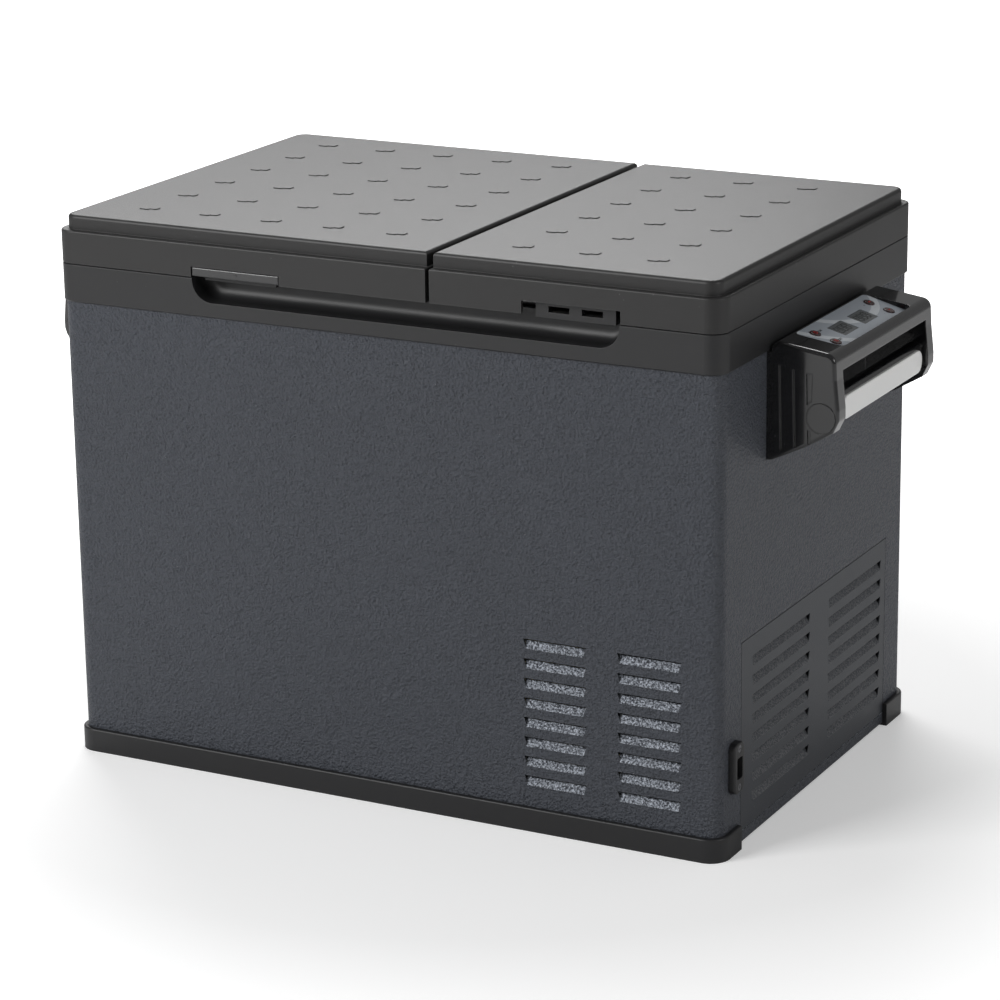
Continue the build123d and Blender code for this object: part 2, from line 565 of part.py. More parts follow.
fan_front = FAN_X - FAN_THICK / 2
fan_plane = Plane(origin=(fan_front, FAN_Y, FAN_Z), x_dir=(0, 1, 0), z_dir=(1, 0, 0))
with BuildPart() as fan_frame:
    with BuildSketch(fan_plane):
        RectangleRounded(FAN_SIZE, FAN_SIZE, 5)
        Circle(FAN_SIZE / 2 - 2.5, mode=Mode.SUBTRACT)
    extrude(amount=FAN_THICK)
    with BuildSketch(fan_plane):
        Circle(17)
        with PolarLocations(0, 4, start_angle=45):
            with Locations((FAN_SIZE / 4 + 6, 0)):
                Rectangle(FAN_SIZE / 2, 4)
        RectangleRounded(FAN_SIZE, FAN_SIZE, 5, mode=Mode.INTERSECT)
    extrude(amount=3)
    with BuildSketch(fan_plane):
        Circle(FAN_SHAFT_R)
    extrude(amount=FAN_THICK - 6)
    # two legs stand the frame on the base pan
    for y in (FAN_Y - 32, FAN_Y + 32):
        add(block((fan_front + 6, fan_front + FAN_THICK - 6), (y - 6, y + 6),
                  (PAN_Z, FAN_Z - FAN_SIZE / 2 + 1)))
save(fan_frame, "fan_frame")

with BuildPart() as fan_rotor:
    with BuildSketch(fan_plane.offset(4)):
        Circle(16)
        Circle(FAN_SHAFT_R + RUN, mode=Mode.SUBTRACT)
    extrude(amount=FAN_THICK - 8)
    blade_mid = (FAN_SIZE / 2 - 4.5 + 14.5) / 2
    with Locations(fan_plane.offset(FAN_THICK / 2)):
        with PolarLocations(blade_mid, 7):
            Box(FAN_SIZE / 2 - 4.5 - 14.5, 18, 1.6, rotation=(38, 0, 0))
save(fan_rotor, "fan_rotor")

CONDENSER_X = fan_front - 22
CONDENSER_Y = (FAN_Y - 48, FAN_Y + 48)
CONDENSER_Z = (PAN_Z, 148.0)
with BuildPart() as condenser:
    tube_z = [CONDENSER_Z[0] + 16 + 17 * row for row in range(8)]
    for z in tube_z:
        with BuildSketch(Plane(origin=(CONDENSER_X, CONDENSER_Y[0] - 6, z), x_dir=(1, 0, 0), z_dir=(0, 1, 0))):
            Circle(3)
        extrude(amount=CONDENSER_Y[1] - CONDENSER_Y[0] + 12)
    for pair, z in enumerate(tube_z[:-1]):
        y = CONDENSER_Y[1] + 4 if pair % 2 == 0 else CONDENSER_Y[0] - 4
        with BuildSketch(Plane.XY.offset(z)):
            with Locations((CONDENSER_X, y)):
                Circle(2.4)
        extrude(amount=17)
    fins = 24
    for fin in range(fins):
        y = CONDENSER_Y[0] + fin * (CONDENSER_Y[1] - CONDENSER_Y[0]) / (fins - 1)
        add(block((CONDENSER_X - 11, CONDENSER_X + 11), (y - 0.35, y + 0.35), CONDENSER_Z))
save(condenser, "condenser")

CONTROL_BOX = ((75.0, 165.0), (-165.0, -110.0), (PAN_Z, 62.0))
with BuildPart() as control_unit:
    add(block(*CONTROL_BOX))
    fillet(control_unit.edges().filter_by(Axis.Z), 4)
    for fin in range(9):
        x = CONTROL_BOX[0][0] + 12 + fin * 8
        add(block((x, x + 2), (-160, -115), (61, 72)))
save(control_unit, "control_unit")

DRIER = (212.0, 60.0)
with BuildPart() as filter_drier:
    with BuildSketch(Plane.XY.offset(PAN_Z)):
        with Locations(DRIER):
            Circle(9)
    extrude(amount=95)
    fillet(filter_drier.edges().group_by(Axis.Z)[-1], 8)
save(filter_drier, "filter_drier")


def pipe(points, bend):
    """A copper pipe of 6 mm along straight runs with round bends."""
    with BuildPart() as run:
        with BuildLine() as route:
            FilletPolyline(*points, radius=bend)
        start = route.line @ 0
        with BuildSketch(Plane(origin=start, z_dir=route.line % 0)):
            Circle(3)
        sweep()
    return run


drier_top = PAN_Z + 95
first_tube, last_tube = tube_z[0], tube_z[-1]
discharge_pipe = pipe([(cx + COMPRESSOR_R + 0.3, cy, 55), (cx + 75, cy, 55), (cx + 75, 20, 55),
                       (CONDENSER_X, 20, 55), (CONDENSER_X, 20, last_tube),
                       (CONDENSER_X, CONDENSER_Y[1] + 6.3, last_tube)], 6)
save(discharge_pipe, "discharge_pipe")
liquid_pipe = pipe([(DRIER[0], DRIER[1], drier_top + 0.2), (DRIER[0], DRIER[1], 160),
                    (DRIER[0], 150, 160), (DRIER[0], 150, BAY_TOP - 0.3)], 8)
save(liquid_pipe, "liquid_pipe")
suction_pipe = pipe([(cx, cy, mount_top + 3 + COMPRESSOR_H + 0.3), (cx, cy, BAY_TOP - 30),
                     (cx, cy + 50, BAY_TOP - 30), (cx, cy + 50, BAY_TOP - 0.3)], 8)
save(suction_pipe, "suction_pipe")

# ---------------------------------------------------------------- power inlet
inlet_y = (INLET_Y[0] + INLET_Y[1]) / 2
inlet_z = (INLET_Z[0] + INLET_Z[1]) / 2
INLET_PROUD = 6.0
INLET_SOCKET = (10.5, 18.0)
inlet_plane = Plane(origin=(SIDE_X, inlet_y, inlet_z), x_dir=(0, 1, 0), z_dir=(1, 0, 0))
inlet_w = INLET_Y[1] - INLET_Y[0]
with BuildPart() as power_inlet:
    with BuildSketch(inlet_plane):
        RectangleRounded(inlet_w, INLET_Z[1] - INLET_Z[0], 6)
    extrude(amount=INLET_PROUD)
    fillet(power_inlet.faces().sort_by(Axis.X)[-1].edges(), 1.5)
    with BuildSketch(inlet_plane):
        Rectangle(inlet_w - 2 * INLET_BODY, INLET_Z[1] - INLET_Z[0] - 14)
    extrude(amount=-16)
    with BuildSketch(inlet_plane.offset(INLET_PROUD)):
        RectangleRounded(*INLET_SOCKET, 2)
    extrude(amount=-(INLET_PROUD + 12), mode=Mode.SUBTRACT)
    with BuildSketch(inlet_plane.offset(INLET_PROUD)):
        with GridLocations(0, INLET_Z[1] - INLET_Z[0] - 10, 1, 2):
            Circle(3.2)
    extrude(amount=-1.6, mode=Mode.SUBTRACT)
save(power_inlet, "power_inlet")

with BuildPart() as inlet_pins:
    with BuildSketch(inlet_plane.offset(-12)):
        with Locations((-2.2, 4.6), (-2.2, -4.6), (2.2, 0)):
            Rectangle(1.2, 3.2)
    extrude(amount=13)
save(inlet_pins, "inlet_pins")

with BuildPart() as inlet_screws:
    with BuildSketch(inlet_plane.offset(INLET_PROUD - 1.6)):
        with GridLocations(0, INLET_Z[1] - INLET_Z[0] - 10, 1, 2):
            Circle(3.0)
    extrude(amount=1.4)
    with BuildSketch(inlet_plane.offset(INLET_PROUD)):
        with GridLocations(0, INLET_Z[1] - INLET_Z[0] - 10, 1, 2):
            Rectangle(3.6, 0.8)
            Rectangle(0.8, 3.6)
    extrude(amount=-1.0, mode=Mode.SUBTRACT)
save(inlet_screws, "inlet_screws")

# ---------------------------------------------------------------- handles
HANDLE_BASE = 5.0
SHELF = 15.0
CHEEK_R = 3.0
BAR_X = (39.0, 56.0)      # grip bar, outwards from the cabinet's side
BAR_Z = (336.0, 362.0)
OUTER_LOW = (HANDLE_OUT, 344.0)
HANDLE_LOW = 307.0
HANDLE_BACK_TOP = 402.6
CAP_R = 12.0
GROOVES = ((13.0, 384.0, 316.0), (24.5, 381.6, 319.5), (35.5, 379.6, 323.0))


def handle(side, tilt_pocket):
    """One carrying handle: base, two cheeks, a top shelf and the grip bar across."""
    sign = 1 if side == "right" else -1

    def upright(y):
        return Plane(origin=(sign * SIDE_X, y, 0), x_dir=(sign, 0, 0), z_dir=(0, -sign, 0))

    near, far_end = HANDLE_Y - HANDLE_HALF, HANDLE_Y + HANDLE_HALF
    start = far_end if side == "right" else near
    with BuildPart() as grip:
        with BuildSketch(upright(start)):
            with BuildLine():
                Polyline((0.1, HANDLE_LOW), (5, HANDLE_LOW), (32, 320), (55, 333.5), OUTER_LOW,
                         (HANDLE_OUT, 352), (57.5, 376), (56.5, 396), (9, HANDLE_BACK_TOP),
                         (4, 399), (4, 393.8), (0.1, 393.8), close=True)
            make_face()
            for corner, radius in (((56.5, 396), 8), ((9, HANDLE_BACK_TOP), 4), (OUTER_LOW, 6)):
                fillet(vertices().sort_by_distance(corner)[0], radius)
        extrude(amount=2 * HANDLE_HALF)
        for end in (0, -1):
            rim = grip.faces().sort_by(Axis.Y)[end].edges()
            fillet(rim.filter_by(lambda edge: abs(edge.center().X) > SIDE_X + 4.5), CHEEK_R)
        with BuildSketch(upright(start - sign * CHEEK)):
            with BuildLine():
                Polyline((HANDLE_BASE, 296), (HANDLE_OUT + 5, 296), (HANDLE_OUT + 5, 381.5),
                         (50, 381.5), (HANDLE_BASE + 8, 387), (HANDLE_BASE, 379), close=True)
            make_face()
        extrude(amount=2 * (HANDLE_HALF - CHEEK), mode=Mode.SUBTRACT)
        with BuildSketch(upright(start - sign * (CHEEK - 1))):
            with Locations(((BAR_X[0] + BAR_X[1]) / 2, (BAR_Z[0] + BAR_Z[1]) / 2)):
                RectangleRounded(BAR_X[1] - BAR_X[0], BAR_Z[1] - BAR_Z[0], 8)
            with Locations((BAR_X[1] - 1, (BAR_Z[0] + BAR_Z[1]) / 2)):
                Rectangle(4, STRIP_H + 0.4, mode=Mode.SUBTRACT)
        extrude(amount=2 * (HANDLE_HALF - CHEEK + 1))
        for end in (near, far_end):
            outward = -1 if end == near else 1
            cheek_face = Plane(origin=(0, end, 0), x_dir=(1, 0, 0), z_dir=(0, -1, 0))
            with BuildSketch(cheek_face):
                with Locations((sign * (SIDE_X + 45.5), 345)):
                    Circle(CAP_R + 0.15)
            extrude(amount=outward * 1.6, mode=Mode.SUBTRACT)
            with BuildSketch(cheek_face):
                for x, top, bottom in GROOVES:
                    with BuildLine():
                        Polyline((sign * (SIDE_X + x - 2.6), top), (sign * (SIDE_X + x + 2.6), top),
                                 (sign * (SIDE_X + x + 1.0), bottom),
                                 (sign * (SIDE_X + x - 1.0), bottom), close=True)
                    make_face()
                with Locations((sign * (SIDE_X + 45.5), 345)):
                    Circle(CAP_R + 3, mode=Mode.SUBTRACT)
            extrude(amount=outward * 1.4, mode=Mode.SUBTRACT)
        if tilt_pocket:
            with BuildSketch(panel_plane.offset(-OVERLAY_T)):
                RectangleRounded(OVERLAY[0] + 2 * GAP, OVERLAY[1] + 2 * GAP, 5)
            extrude(amount=12, taper=-8, mode=Mode.SUBTRACT)
            with BuildSketch(panel_plane):
                Rectangle(OVERLAY[0] - 8, OVERLAY[1] - 8)
            extrude(amount=-BOARD_DEPTH, mode=Mode.SUBTRACT)
    return grip


STRIP_H = 19.0
OVERLAY_T = 1.2
BOARD_DEPTH = 8.5
BOARD_T = 1.6
panel_mid = (SIDE_X + 30.0, HANDLE_Y + PANEL_SHIFT, 397.3)
panel_plane = Plane(origin=panel_mid, x_dir=(0, 1, 0),
                    z_dir=(sin(radians(PANEL_TILT)), 0, cos(radians(PANEL_TILT))))
right_handle = handle("right", True)
save(right_handle, "right_handle")
left_handle = handle("left", False)
save(left_handle, "left_handle")

for side, sign in (("right", 1), ("left", -1)):
    with BuildPart() as strip:
        x0, x1 = sorted((sign * (SIDE_X + BAR_X[1] - 3), sign * (SIDE_X + BAR_X[1] + 0.6)))
        half = HANDLE_HALF - CHEEK - 4
        zm = (BAR_Z[0] + BAR_Z[1]) / 2
        add(block((x0, x1), (HANDLE_Y - half, HANDLE_Y + half), (zm - STRIP_H / 2, zm + STRIP_H / 2)))
        fillet(strip.edges().filter_by(Axis.X), STRIP_H / 2 - 0.5)
        fillet(strip.faces().sort_by(Axis.X)[-1 if sign > 0 else 0].edges(), 1.0)
    save(strip, f"{side}_grip_strip")
    with BuildPart() as caps:
        for end, outward in ((HANDLE_Y - HANDLE_HALF, -1), (HANDLE_Y + HANDLE_HALF, 1)):
            depth_y = sorted((end - outward * 1.6, end + outward * 0.4))
            with BuildSketch(Plane(origin=(0, depth_y[1], 0), x_dir=(1, 0, 0), z_dir=(0, -1, 0))):
                with Locations((sign * (SIDE_X + 45.5), 345)):
                    Circle(CAP_R)
            extrude(amount=depth_y[1] - depth_y[0])
    save(caps, f"{side}_grip_caps")

button_places = {"power": (-BUTTON_X, BUTTON_Y), "set": (-BUTTON_X, -BUTTON_Y),
                 "up": (BUTTON_X, BUTTON_Y), "down": (BUTTON_X, -BUTTON_Y)}
with BuildPart() as control_overlay:
    with BuildSketch(panel_plane):
        RectangleRounded(*OVERLAY, 4.8)
        with Locations((-DISPLAY_X, 0), (DISPLAY_X, 0)):
            RectangleRounded(*DISPLAY, 1, mode=Mode.SUBTRACT)
        with Locations(*button_places.values()):
            Circle(BUTTON_R + 0.3, mode=Mode.SUBTRACT)
    extrude(amount=-OVERLAY_T)
save(control_overlay, "control_overlay")

with BuildPart() as control_board:
    with BuildSketch(panel_plane.offset(-BOARD_DEPTH)):
        Rectangle(OVERLAY[0] - 10, OVERLAY[1] - 10)
    extrude(amount=BOARD_T)
save(control_board, "control_board")

with BuildPart() as display_windows:
    with BuildSketch(panel_plane.offset(-BOARD_DEPTH + BOARD_T)):
        with Locations((-DISPLAY_X, 0), (DISPLAY_X, 0)):
            RectangleRounded(DISPLAY[0] - 2 * GAP, DISPLAY[1] - 2 * GAP, 0.8)
    extrude(amount=BOARD_DEPTH - BOARD_T - 0.3)
save(display_windows, "display_windows")

for name, place in button_places.items():
    with BuildPart() as button:
        with BuildSketch(panel_plane.offset(-BOARD_DEPTH + BOARD_T + 2.2)):
            with Locations(place):
                Circle(BUTTON_R)
        extrude(amount=BOARD_DEPTH - BOARD_T - 2.2 + 1.0)
        fillet(button.faces().sort_by(Axis(panel_mid, panel_plane.z_dir))[-1].edges(), 0.6)
    save(button, f"{name}_button")

# ---------------------------------------------------------------- interior
LAMP = (30.0, 12.0, 3.0)
with BuildPart() as interior_lamp:
    x1 = LEFT_TUB_X[1] - WALL
    add(block((x1 - LAMP[2], x1), (-LAMP[0] / 2, LAMP[0] / 2), (375, 375 + LAMP[1])))
    fillet(interior_lamp.faces().sort_by(Axis.X)[0].edges(), 1.2)
save(interior_lamp, "interior_lamp")
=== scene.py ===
"""Looks of a two-lid compressor cooler fridge, dressed round its packed construction."""
import json
import logging
from dataclasses import dataclass
from enum import Enum
from math import atan2, cos, pi, radians, sin

import bmesh
import bpy
from mathutils import Matrix, Vector

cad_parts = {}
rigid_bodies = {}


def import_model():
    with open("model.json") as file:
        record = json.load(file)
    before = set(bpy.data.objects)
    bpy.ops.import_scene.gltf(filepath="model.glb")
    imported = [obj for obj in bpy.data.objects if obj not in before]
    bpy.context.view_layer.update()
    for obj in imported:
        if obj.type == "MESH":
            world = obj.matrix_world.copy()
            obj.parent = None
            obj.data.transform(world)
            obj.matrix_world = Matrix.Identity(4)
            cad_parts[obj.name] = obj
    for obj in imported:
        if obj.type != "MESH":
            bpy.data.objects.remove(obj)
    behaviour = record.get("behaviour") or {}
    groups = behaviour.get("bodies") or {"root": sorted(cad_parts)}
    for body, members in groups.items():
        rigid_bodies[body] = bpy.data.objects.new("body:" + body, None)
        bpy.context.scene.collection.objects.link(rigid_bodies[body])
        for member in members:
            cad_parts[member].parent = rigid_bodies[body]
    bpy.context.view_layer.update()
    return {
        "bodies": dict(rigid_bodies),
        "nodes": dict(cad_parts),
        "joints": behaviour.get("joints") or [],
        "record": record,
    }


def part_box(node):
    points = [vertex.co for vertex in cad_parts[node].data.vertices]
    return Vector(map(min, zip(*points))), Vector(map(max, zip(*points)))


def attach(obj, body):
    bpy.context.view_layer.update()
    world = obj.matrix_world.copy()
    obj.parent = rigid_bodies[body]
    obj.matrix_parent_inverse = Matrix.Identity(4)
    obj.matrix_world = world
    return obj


Colour = tuple[float, float, float]
LOG = logging.getLogger("cooler")
MM = 0.001
EDGE_SAMPLES = 4         # rays of each Bevel node
COAT_ROUGHNESS = 0.06
# faces above this normal Z get the painted highlight of the pressed sheets
UPWARD = 0.35            # a normal's Z above which a face looks up


class Grain(Enum):
    """The relief that a surface carries."""

    LEATHER = "leather_grain"
    MOULDED = "moulded_grain"
    SMOOTH = "smooth_ripple"
    BRUSHED = "brushed_lines"
    FOAM = "foam_cells"


class Panel(Enum):
    """The marks printed beside each button of the control panel."""

    POWER = "ON"
    SET = "SET"
    UP = "+"
    DOWN = "-"


# ------------------------------------------------------------------ node helpers
def socket(nodes: bpy.types.NodeTree, kind: str, **values: object) -> bpy.types.Node:
    """Add a node and set its sockets and settings.

    Args:
        nodes: The tree that takes the node.
        kind: The node's type name without the ShaderNode prefix.
        **values: Settings by attribute name, or input values by socket name.

    Returns:
        The new node.
    """
    node = nodes.nodes.new("ShaderNode" + kind)
    for name, value in values.items():
        if hasattr(node, name):
            setattr(node, name, value)
        else:
            node.inputs[name.replace("_", " ")].default_value = value
    return node


def math_node(tree: bpy.types.NodeTree, operation: str, first: object,
              second: object = None) -> object:
    """Join two values with a Math node.

    Args:
        tree: The tree that takes the node.
        operation: The Math operation's name.
        first: A socket or a number.
        second: A socket or a number, if the operation takes one.

    Returns:
        The node's output socket.
    """
    node = socket(tree, "Math", operation=operation)
    for place, value in enumerate((first, second)):
        if isinstance(value, (int, float)):
            node.inputs[place].default_value = value
        elif value is not None:
            tree.links.new(value, node.inputs[place])
    return node.outputs[0]


def texture(tree: bpy.types.NodeTree, kind: str, scale: object = None,
            **values: object) -> bpy.types.Node:
    """Add a texture that follows the object's own coordinates.

    Args:
        tree: The tree that takes the node.
        kind: The texture's type name.
        scale: A socket for its scale, unless values hold a Scale.
        **values: Its other settings and inputs.

    Returns:
        The texture node.
    """
    node = socket(tree, kind, **values)
    tree.links.new(socket(tree, "TexCoord").outputs["Object"], node.inputs["Vector"])
    if scale is not None:
        tree.links.new(scale, node.inputs["Scale"])
    return node


def scaled(tree: bpy.types.NodeTree, colour: object, factor: object) -> object:
    """Multiply a colour by a value.

    Args:
        tree: The tree that takes the node.
        colour: A colour or socket.
        factor: The value's socket.

    Returns:
        The scaled colour's socket.
    """
    node = socket(tree, "VectorMath", operation="SCALE")
    if isinstance(colour, tuple):
        node.inputs[0].default_value = colour
    else:
        tree.links.new(colour, node.inputs[0])
    tree.links.new(factor, node.inputs["Scale"])
    return node.outputs[0]


def mix_colour(tree: bpy.types.NodeTree, mask: object, first: object, second: object) -> object:
    """Mix two colours by a mask.

    Args:
        tree: The tree that takes the node.
        mask: A value socket.
        first: A colour or socket where the mask is 0.
        second: A colour or socket where the mask is 1.

    Returns:
        The colour output socket.
    """
    node = socket(tree, "Mix", data_type="RGBA")
    tree.links.new(mask, node.inputs[0])
    for place, value in ((6, first), (7, second)):
        if isinstance(value, tuple):
            node.inputs[place].default_value = (*value, 1.0)
        else:
            tree.links.new(value, node.inputs[place])
    return node.outputs[2]


class EffectGroups:
    """The shader node groups that several finishes share, each built once.

    Attributes:
        WARP_SCALE: Scale of the noise that bends the leather cells.
        WARP: How far it bends them, in metres.
        CELL_SHARE: Share of the cells in the leather relief.
        CREASE_SHARE: Share of the creases in the leather relief.
        SPECK_SIZE: Size of a dust speck, as a share of its cell.
        SPECK_COVER: Noise level above which specks lie.
        WEAR_GAIN: How fast wear grows with the sharpness of an edge.
    """

    WARP_SCALE = 160.0
    WARP = 0.004
    CELL_SHARE = 0.8
    CREASE_SHARE = 0.9
    SPECK_SIZE = 0.055
    SPECK_COVER = 0.56
    WEAR_GAIN = 2.2

    def __init__(self) -> None:
        """Build every group."""
        self.trees = {
            Grain.LEATHER: self.leather(),
            Grain.MOULDED: self.noise_grain(Grain.MOULDED.value, 2.0, 0.6),
            Grain.SMOOTH: self.noise_grain(Grain.SMOOTH.value, 1.0, 0.4),
            Grain.BRUSHED: self.brushed(),
            Grain.FOAM: self.foam(),
        }
        self.tone = self.tone_drift()
        self.wear = self.edge_wear()

    @staticmethod
    def start(name: str, inputs: dict[str, float], outputs: dict[str, str]) -> tuple:
        """Make an empty group with its sockets.

        Args:
            name: The group's name.
            inputs: Float inputs and their default values.
            outputs: Output names and their socket types.

        Returns:
            The tree, its input node and its output node.
        """
        tree = bpy.data.node_groups.new(name, "ShaderNodeTree")
        for label, value in inputs.items():
            made = tree.interface.new_socket(name=label, in_out="INPUT",
                                             socket_type="NodeSocketFloat")
            made.default_value = value
        for label, kind in outputs.items():
            tree.interface.new_socket(name=label, in_out="OUTPUT", socket_type=kind)
        return tree, tree.nodes.new("NodeGroupInput"), tree.nodes.new("NodeGroupOutput")

    def leather(self) -> bpy.types.NodeTree:
        """Wrinkled leather-like cells pressed into painted steel.

        Returns:
            The group's tree.
        """
        tree, given, out = self.start(Grain.LEATHER.value, {"Cells per metre": 380.0},
                                      {"Height": "NodeSocketFloat"})
        warp = texture(tree, "TexNoise", Scale=self.WARP_SCALE, Detail=3.0)
        shift = socket(tree, "VectorMath", operation="MULTIPLY_ADD")
        shift.inputs[1].default_value = (self.WARP, self.WARP, self.WARP)
        tree.links.new(warp.outputs["Color"], shift.inputs[0])
        tree.links.new(socket(tree, "TexCoord").outputs["Object"], shift.inputs[2])
        cells = socket(tree, "TexVoronoi", feature="SMOOTH_F1", Smoothness=0.4)
        tree.links.new(shift.outputs[0], cells.inputs["Vector"])
        tree.links.new(given.outputs[0], cells.inputs["Scale"])
        creases = texture(tree, "TexNoise", given.outputs[0], Detail=6.0, Roughness=0.62,
                          Distortion=0.6)
        joined = math_node(tree, "ADD",
                           math_node(tree, "MULTIPLY", cells.outputs["Distance"], self.CELL_SHARE),
                           math_node(tree, "MULTIPLY", creases.outputs[0], self.CREASE_SHARE))
        tree.links.new(joined, out.inputs[0])
        return tree

    def noise_grain(self, name: str, detail: float, roughness: float) -> bpy.types.NodeTree:
        """Make a fine even relief.

        Args:
            name: The group's name.
            detail: Octaves of the noise.
            roughness: Strength of the finer octaves.

        Returns:
            The group's tree.
        """
        tree, given, out = self.start(name, {"Cells per metre": 2000.0},
                                      {"Height": "NodeSocketFloat"})
        noise = texture(tree, "TexNoise", given.outputs[0], Detail=detail, Roughness=roughness)
        tree.links.new(noise.outputs[0], out.inputs[0])
        return tree

    def brushed(self) -> bpy.types.NodeTree:
        """Long fine lines along Y.

        Returns:
            The group's tree.
        """
        tree, given, out = self.start(Grain.BRUSHED.value, {"Cells per metre": 3000.0},
                                      {"Height": "NodeSocketFloat"})
        stretch = texture(tree, "Mapping")
        stretch.inputs["Scale"].default_value = (1.0, 0.02, 1.0)
        noise = socket(tree, "TexNoise", Detail=3.0)
        tree.links.new(stretch.outputs[0], noise.inputs["Vector"])
        tree.links.new(given.outputs[0], noise.inputs["Scale"])
        tree.links.new(noise.outputs[0], out.inputs[0])
        return tree

    def foam(self) -> bpy.types.NodeTree:
        """Open cells of cut foam.

        Returns:
            The group's tree.
        """
        tree, given, out = self.start(Grain.FOAM.value, {"Cells per metre": 500.0},
                                      {"Height": "NodeSocketFloat"})
        cells = texture(tree, "TexVoronoi", given.outputs[0])
        tree.links.new(cells.outputs["Distance"], out.inputs[0])
        return tree

    def tone_drift(self) -> bpy.types.NodeTree:
        """Slow tone drift with sparse specks of dust.

        Returns:
            The group's tree.
        """
        tree, given, out = self.start("tone_and_dust", {"Drift": 0.1, "Dust": 0.02},
                                      {"Tone": "NodeSocketFloat", "Dust": "NodeSocketFloat"})
        slow = texture(tree, "TexNoise", Scale=9.0, Detail=4.0)
        specks = texture(tree, "TexVoronoi", Scale=140.0)
        scatter = texture(tree, "TexNoise", Scale=35.0, Detail=2.0)
        swing = math_node(tree, "SUBTRACT", slow.outputs[0], 0.5)
        tone = math_node(tree, "MULTIPLY", swing, given.outputs[0])
        tree.links.new(math_node(tree, "ADD", tone, 1.0), out.inputs[0])
        near = math_node(tree, "LESS_THAN", specks.outputs["Distance"], self.SPECK_SIZE)
        some = math_node(tree, "GREATER_THAN", scatter.outputs[0], self.SPECK_COVER)
        dust = math_node(tree, "MULTIPLY", math_node(tree, "MULTIPLY", near, some), given.outputs[1])
        tree.links.new(dust, out.inputs[1])
        return tree

    def edge_wear(self) -> bpy.types.NodeTree:
        """A mask that is 1 on rubbed corners.

        Returns:
            The group's tree.
        """
        tree, given, out = self.start("edge_wear", {"Radius": 0.0012}, {"Mask": "NodeSocketFloat"})
        soft = socket(tree, "Bevel", samples=EDGE_SAMPLES)
        tree.links.new(given.outputs[0], soft.inputs["Radius"])
        sharp = socket(tree, "NewGeometry")
        meet = socket(tree, "VectorMath", operation="DOT_PRODUCT")
        tree.links.new(soft.outputs[0], meet.inputs[0])
        tree.links.new(sharp.outputs["Normal"], meet.inputs[1])
        apart = math_node(tree, "SUBTRACT", 1.0, meet.outputs["Value"])
        lost = math_node(tree, "MULTIPLY", apart, self.WEAR_GAIN)
        rubbed = texture(tree, "TexNoise", Scale=220.0, Detail=4.0)
        mask = math_node(tree, "MULTIPLY", math_node(tree, "MINIMUM", lost, 1.0), rubbed.outputs[0])
        tree.links.new(mask, out.inputs[0])
        return tree


# ------------------------------------------------------------------ finishes
@dataclass(frozen=True)
class Finish:
    """One surface finish with its colour, gloss and relief.

    Attributes:
        name: The material's name.
        colour: Base colour, linear.
        grain: The relief pattern.
        cells: Relief cells per metre.
        depth: Relief height in metres.
        roughness: Mean roughness.
        swing: How far the relief moves the roughness.
        drift: Slow tone change.
        dust: Strength of specks.
        wear: Strength of rubbed edges.
        metallic: Metallic value.
        coat: Coat weight.
        rounding: Radius of softened edges in metres.
        pale: Colour of dust and rubbed edges.
    """

    name: str
    colour: Colour
    grain: Grain = Grain.MOULDED
    cells: float = 1800.0
    depth: float = 0.00004
    roughness: float = 0.5
    swing: float = 0.12
    drift: float = 0.18
    dust: float = 0.0
    wear: float = 0.0
    metallic: float = 0.0
    coat: float = 0.0
    rounding: float = 0.0006
    pale: Colour = (0.3, 0.3, 0.3)

    def build(self, groups: EffectGroups) -> bpy.types.Material:
        """Make the material.

        Args:
            groups: The shared effect groups.

        Returns:
            The finished material.
        """
        material = bpy.data.materials.new(self.name)
        material.use_nodes = True
        tree = material.node_tree
        shader = tree.nodes["Principled BSDF"]
        shader.inputs["Metallic"].default_value = self.metallic
        shader.inputs["Coat Weight"].default_value = self.coat
        shader.inputs["Coat Roughness"].default_value = COAT_ROUGHNESS
        relief = self.put(tree, groups.trees[self.grain], self.cells)
        tone = self.put(tree, groups.tone, self.drift, self.dust)
        wear = self.put(tree, groups.wear, 2 * self.rounding)
        base = self.tint(tree, tone.outputs["Tone"], relief.outputs[0])
        dusty = mix_colour(tree, tone.outputs["Dust"], base, self.pale)
        rubbed = math_node(tree, "MULTIPLY", wear.outputs[0], self.wear)
        tree.links.new(mix_colour(tree, rubbed, dusty, self.pale), shader.inputs["Base Color"])
        uneven = math_node(tree, "SUBTRACT", relief.outputs[0], 0.5)
        rough = math_node(tree, "MULTIPLY", uneven, self.swing)
        tree.links.new(math_node(tree, "ADD", rough, self.roughness), shader.inputs["Roughness"])
        soft = socket(tree, "Bevel", samples=EDGE_SAMPLES, Radius=self.rounding)
        bump = socket(tree, "Bump", Strength=1.0, Distance=self.depth)
        tree.links.new(relief.outputs[0], bump.inputs["Height"])
        tree.links.new(soft.outputs[0], bump.inputs["Normal"])
        tree.links.new(bump.outputs[0], shader.inputs["Normal"])
        return material

    @staticmethod
    def put(tree: bpy.types.NodeTree, group: bpy.types.NodeTree, *values: float) -> bpy.types.Node:
        """Put a shared group into the material.

        Args:
            tree: The material's tree.
            group: The shared group.
            *values: Its inputs, in order.

        Returns:
            The group's node.
        """
        node = tree.nodes.new("ShaderNodeGroup")
        node.node_tree = group
        for place, value in enumerate(values):
            node.inputs[place].default_value = value
        return node

    def tint(self, tree: bpy.types.NodeTree, tone: object, height: object) -> object:
        """Colour the surface from its tone drift.

        Args:
            tree: The material's tree.
            tone: The tone factor socket.
            height: The relief's height socket; not used here.

        Returns:
            The colour socket.
        """
        return scaled(tree, self.colour, tone)


